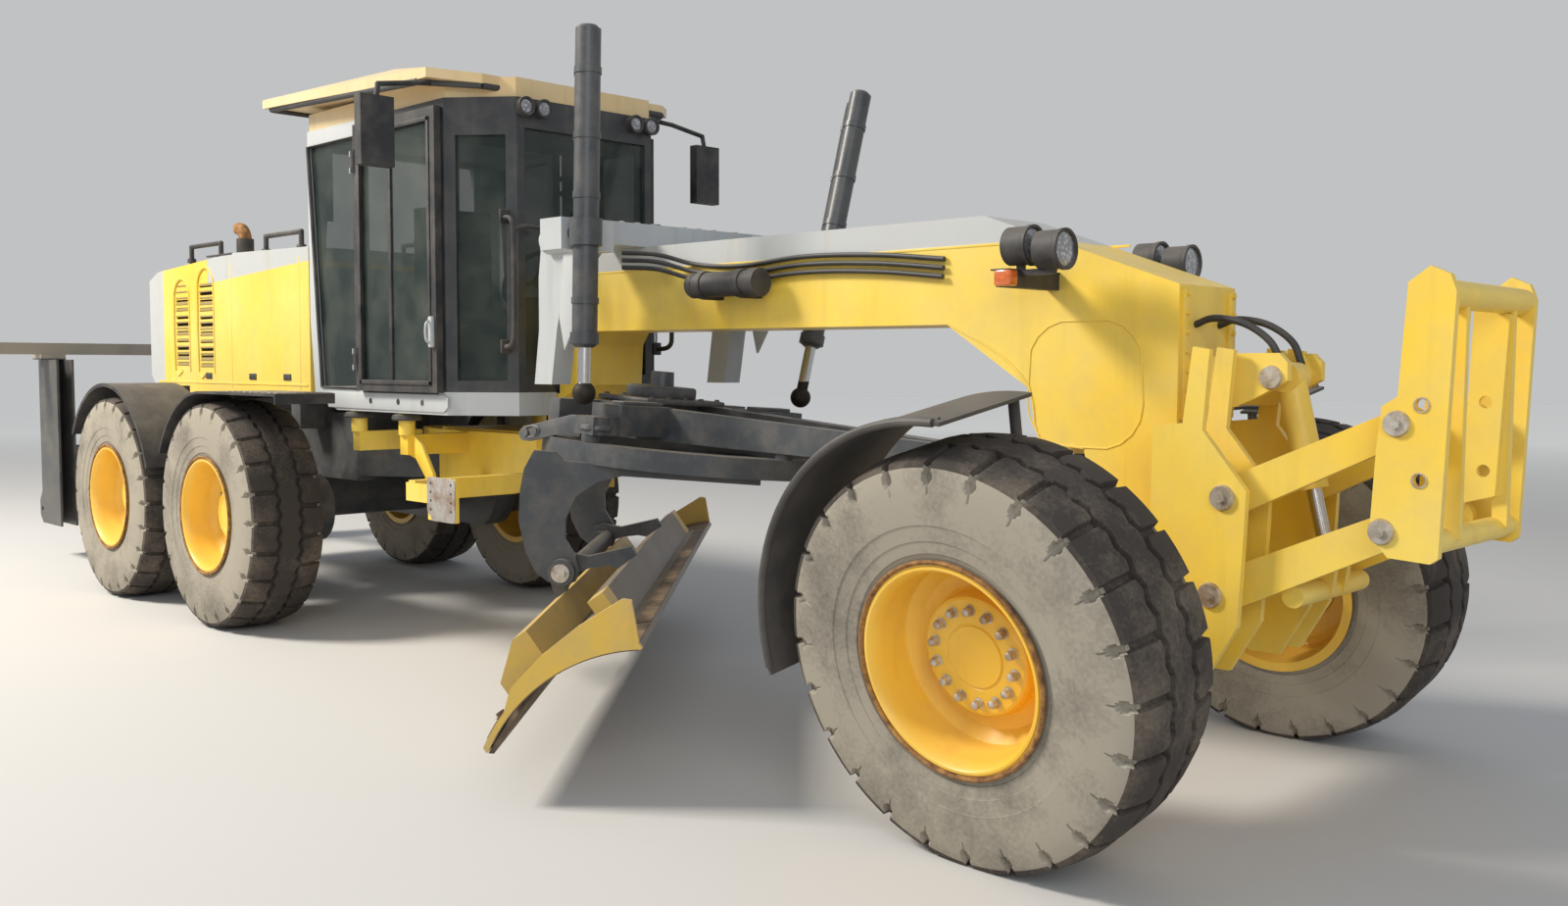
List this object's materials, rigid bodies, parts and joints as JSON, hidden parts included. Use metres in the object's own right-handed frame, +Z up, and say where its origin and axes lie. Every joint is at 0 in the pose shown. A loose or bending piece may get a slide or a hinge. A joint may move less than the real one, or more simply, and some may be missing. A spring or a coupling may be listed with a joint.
{
  "type": "motor grader",
  "caption": "Articulated road grader with a circle-mounted moldboard, a glazed cab, driven and leaning front wheels, a front lift group and a rear mast.",
  "frame": {"origin": "middle of the foot of the bounding box, on the ground", "axes": "+X forward, +Y to the left, +Z up"},
  "size_m": [10.448, 3.3093, 3.1343],
  "materials": {
    "yellow_paint": "industrial yellow enamel",
    "rim_paint": "orange-yellow enamel",
    "slate_paint": "dark slate enamel",
    "silver_paint": "light grey enamel",
    "tan_paint": "tan enamel",
    "black_plastic": "black moulded",
    "black_paint": "black enamel",
    "rod_chrome": "hard chrome",
    "bare_steel": "worn steel",
    "engine": "cast",
    "glass": "tinted",
    "seat_cloth": "woven",
    "tyre_rubber": "dusty rubber"
  },
  "bodies": {
    "rear_frame": {"rear_frame": "slate_paint", "hood": "yellow_paint", "engine_block": "engine", "hood_rails": "black_paint", "tandem_cases": "slate_paint", "rear_fenders": "black_plastic", "rear_mast": "black_paint"},
    "front_frame": {"main_frame": "yellow_paint", "ball_ears": "yellow_paint", "saddle": "silver_paint", "front_axle": "yellow_paint", "lift_base": "yellow_paint", "cab_shell": "silver_paint", "cab_roof": "tan_paint", "cab_glass": "glass", "cab_seat": "seat_cloth", "cab_console": "black_plastic", "mirrors": "black_plastic", "neck_lamps": "black_plastic", "accumulator": "black_paint"},
    "yoke_left": {"yoke_left": "yellow_paint"},
    "yoke_right": {"yoke_right": "yellow_paint"},
    "knuckle_left": {"knuckle_left": "yellow_paint", "front_fender_left": "black_plastic"},
    "knuckle_right": {"knuckle_right": "yellow_paint", "front_fender_right": "black_plastic"},
    "lean_bar": {"lean_bar": "yellow_paint"},
    "draft_ball": {"draft_ball": "slate_paint"},
    "drawbar": {"drawbar": "slate_paint"},
    "circle": {"circle": "slate_paint"},
    "blade_carrier": {"blade_carrier": "slate_paint"},
    "moldboard": {"moldboard": "yellow_paint"},
    "door_left": {"door_left": "black_paint", "door_glass_left": "glass"},
    "door_right": {"door_right": "black_paint", "door_glass_right": "glass"},
    "upper_arm": {"upper_arm": "yellow_paint"},
    "lower_arm": {"lower_arm": "yellow_paint"},
    "coupler": {"coupler": "yellow_paint"},
    "tool_barrel": {"tool_barrel": "yellow_paint"},
    "tool_rod": {"tool_rod": "rod_chrome"},
    "lift_barrel_left": {"lift_barrel_left": "slate_paint"},
    "lift_rod_left": {"lift_rod_left": "rod_chrome"},
    "wheel_front_left": {"rim_front_left": "rim_paint", "tyre_front_left": "tyre_rubber"},
    "wheel_middle_left": {"rim_middle_left": "rim_paint", "tyre_middle_left": "tyre_rubber"},
    "wheel_rear_left": {"rim_rear_left": "rim_paint", "tyre_rear_left": "tyre_rubber"},
    "lift_barrel_right": {"lift_barrel_right": "slate_paint"},
    "lift_rod_right": {"lift_rod_right": "rod_chrome"},
    "wheel_front_right": {"rim_front_right": "rim_paint", "tyre_front_right": "tyre_rubber"},
    "wheel_middle_right": {"rim_middle_right": "rim_paint", "tyre_middle_right": "tyre_rubber"},
    "wheel_rear_right": {"rim_rear_right": "rim_paint", "tyre_rear_right": "tyre_rubber"}
  },
  "joints": [
    {"name": "articulation", "type": "hinge", "parent": "rear_frame", "child": "front_frame", "pos_m": [-0.78, 0.25483, 0.96], "axis": [0, 0, 1], "range_deg": [-22, 22]},
    {"name": "wheel_middle_left_spin", "type": "hinge", "parent": "rear_frame", "child": "wheel_middle_left", "pos_m": [-1.27, 1.30983, 0.66], "axis": [0, 1, 0], "continuous": true},
    {"name": "wheel_middle_right_spin", "type": "hinge", "parent": "rear_frame", "child": "wheel_middle_right", "pos_m": [-1.27, -0.80017, 0.66], "axis": [0, 1, 0], "continuous": true},
    {"name": "wheel_rear_left_spin", "type": "hinge", "parent": "rear_frame", "child": "wheel_rear_left", "pos_m": [-2.81, 1.30983, 0.66], "axis": [0, 1, 0], "continuous": true},
    {"name": "wheel_rear_right_spin", "type": "hinge", "parent": "rear_frame", "child": "wheel_rear_right", "pos_m": [-2.81, -0.80017, 0.66], "axis": [0, 1, 0], "continuous": true},
    {"name": "lean_right", "type": "hinge", "parent": "front_frame", "child": "yoke_right", "pos_m": [4.12, -0.43517, 0.62], "axis": [1, 0, 0], "range_deg": [-30, 10]},
    {"name": "lean_left", "type": "hinge", "parent": "front_frame", "child": "yoke_left", "pos_m": [4.12, 0.94483, 0.62], "axis": [1, 0, 0], "range_deg": [-30, 10]},
    {"name": "steer_right", "type": "hinge", "parent": "yoke_right", "child": "knuckle_right", "pos_m": [4.12, -0.54517, 0.62], "axis": [0, -0.1736, 0.9848], "range_deg": [-40, 40]},
    {"name": "steer_left", "type": "hinge", "parent": "yoke_left", "child": "knuckle_left", "pos_m": [4.12, 1.05483, 0.62], "axis": [0, -0.1736, 0.9848], "range_deg": [-40, 40]},
    {"name": "wheel_front_left_spin", "type": "hinge", "parent": "knuckle_left", "child": "wheel_front_left", "pos_m": [4.12, 1.30983, 0.66304], "axis": [0, 0.9848, 0.1736], "continuous": true},
    {"name": "wheel_front_right_spin", "type": "hinge", "parent": "knuckle_right", "child": "wheel_front_right", "pos_m": [4.12, -0.80017, 0.66304], "axis": [0, 0.9848, 0.1736], "continuous": true},
    {"name": "lean_bar_slide", "type": "slide", "parent": "front_frame", "child": "lean_bar", "axis": [0, 1, 0], "range_m": [-0.05336, 0.15808]},
    {"name": "drawbar_swing", "type": "hinge", "parent": "front_frame", "child": "draft_ball", "pos_m": [3.77, 0.25483, 1.13], "axis": [0, 0, 1], "range_deg": [-21, 15]},
    {"name": "drawbar_lift", "type": "hinge", "parent": "draft_ball", "child": "drawbar", "pos_m": [3.77, 0.25483, 1.13], "axis": [-0.0523, 0.9986, 0], "range_deg": [-15, 3.5]},
    {"name": "circle_turn", "type": "hinge", "parent": "drawbar", "child": "circle", "pos_m": [1.74839, 0.14155, 1.11377], "axis": [0.0581, 0.0555, 0.9968], "continuous": true},
    {"name": "blade_pitch", "type": "hinge", "parent": "circle", "child": "blade_carrier", "pos_m": [1.34083, -0.25286, 0.6368], "axis": [-0.6958, 0.7182, 0.0006], "range_deg": [-42, 2]},
    {"name": "blade_shift", "type": "slide", "parent": "blade_carrier", "child": "moldboard", "axis": [0.6958, -0.7182, -0.0006], "range_m": [-0.6, 0.6]},
    {"name": "door_left_swing", "type": "hinge", "parent": "front_frame", "child": "door_left", "pos_m": [-0.47, 0.97483, 2.086], "axis": [0, 0, 1], "range_deg": [0, 80]},
    {"name": "door_right_swing", "type": "hinge", "parent": "front_frame", "child": "door_right", "pos_m": [-0.47, -0.46517, 2.086], "axis": [0, 0, -1], "range_deg": [0, 80]},
    {"name": "lift_barrel_left_swing", "type": "hinge", "parent": "front_frame", "child": "lift_barrel_left", "pos_m": [1.73, 1.03883, 2.115], "axis": [1, 0, 0], "range_deg": [-52, 52]},
    {"name": "lift_barrel_right_swing", "type": "hinge", "parent": "front_frame", "child": "lift_barrel_right", "pos_m": [1.73, -0.52917, 2.115], "axis": [1, 0, 0], "range_deg": [-52, 52]},
    {"name": "lift_rod_left_slide", "type": "slide", "parent": "lift_barrel_left", "child": "lift_rod_left", "axis": [0, 0.2713, 0.9625], "range_m": [-0.56, 0.14]},
    {"name": "lift_rod_right_slide", "type": "slide", "parent": "lift_barrel_right", "child": "lift_rod_right", "axis": [0, 0.0227, 0.9997], "range_m": [-0.56, 0.14]},
    {"name": "tool_lift", "type": "hinge", "parent": "front_frame", "child": "lower_arm", "pos_m": [4.49, 0.25483, 0.795], "axis": [0, -1, 0], "range_deg": [-45, 8]},
    {"name": "upper_arm_swing", "type": "hinge", "parent": "front_frame", "child": "upper_arm", "pos_m": [4.525, 0.25483, 1.115], "axis": [0, -1, 0], "range_deg": [-46, 9]},
    {"name": "coupler_level", "type": "hinge", "parent": "lower_arm", "child": "coupler", "pos_m": [5.03, 0.25483, 1.05], "axis": [0, -1, 0], "range_deg": [-9, 46]},
    {"name": "tool_barrel_swing", "type": "hinge", "parent": "front_frame", "child": "tool_barrel", "pos_m": [4.575, 0.25483, 1.5], "axis": [0, -1, 0], "range_deg": [-6, 4]},
    {"name": "tool_rod_slide", "type": "slide", "parent": "tool_barrel", "child": "tool_rod", "axis": [-0.2368, 0, 0.9716], "range_m": [-0.25, 0.06]}
  ],
  "couplings": [
    {"joint": "lean_left", "follows": "lean_right", "ratio": 1},
    {"joint": "steer_left", "follows": "steer_right", "ratio": 1},
    {"joint": "lean_bar_slide", "follows": "lean_right", "m_per_rad": -0.3},
    {"joint": "lift_barrel_left_swing", "follows": "drawbar_swing", "ratio": -2.4},
    {"joint": "lift_barrel_right_swing", "follows": "drawbar_swing", "ratio": -2.4},
    {"joint": "lift_rod_left_slide", "follows": "drawbar_lift", "m_per_rad": 2.04},
    {"joint": "lift_rod_right_slide", "follows": "drawbar_lift", "m_per_rad": 2.04},
    {"joint": "upper_arm_swing", "follows": "tool_lift", "ratio": 1},
    {"joint": "coupler_level", "follows": "tool_lift", "ratio": -1},
    {"joint": "tool_barrel_swing", "follows": "tool_lift", "ratio": 0.03},
    {"joint": "tool_rod_slide", "follows": "tool_lift", "m_per_rad": 0.2452}
  ]
}
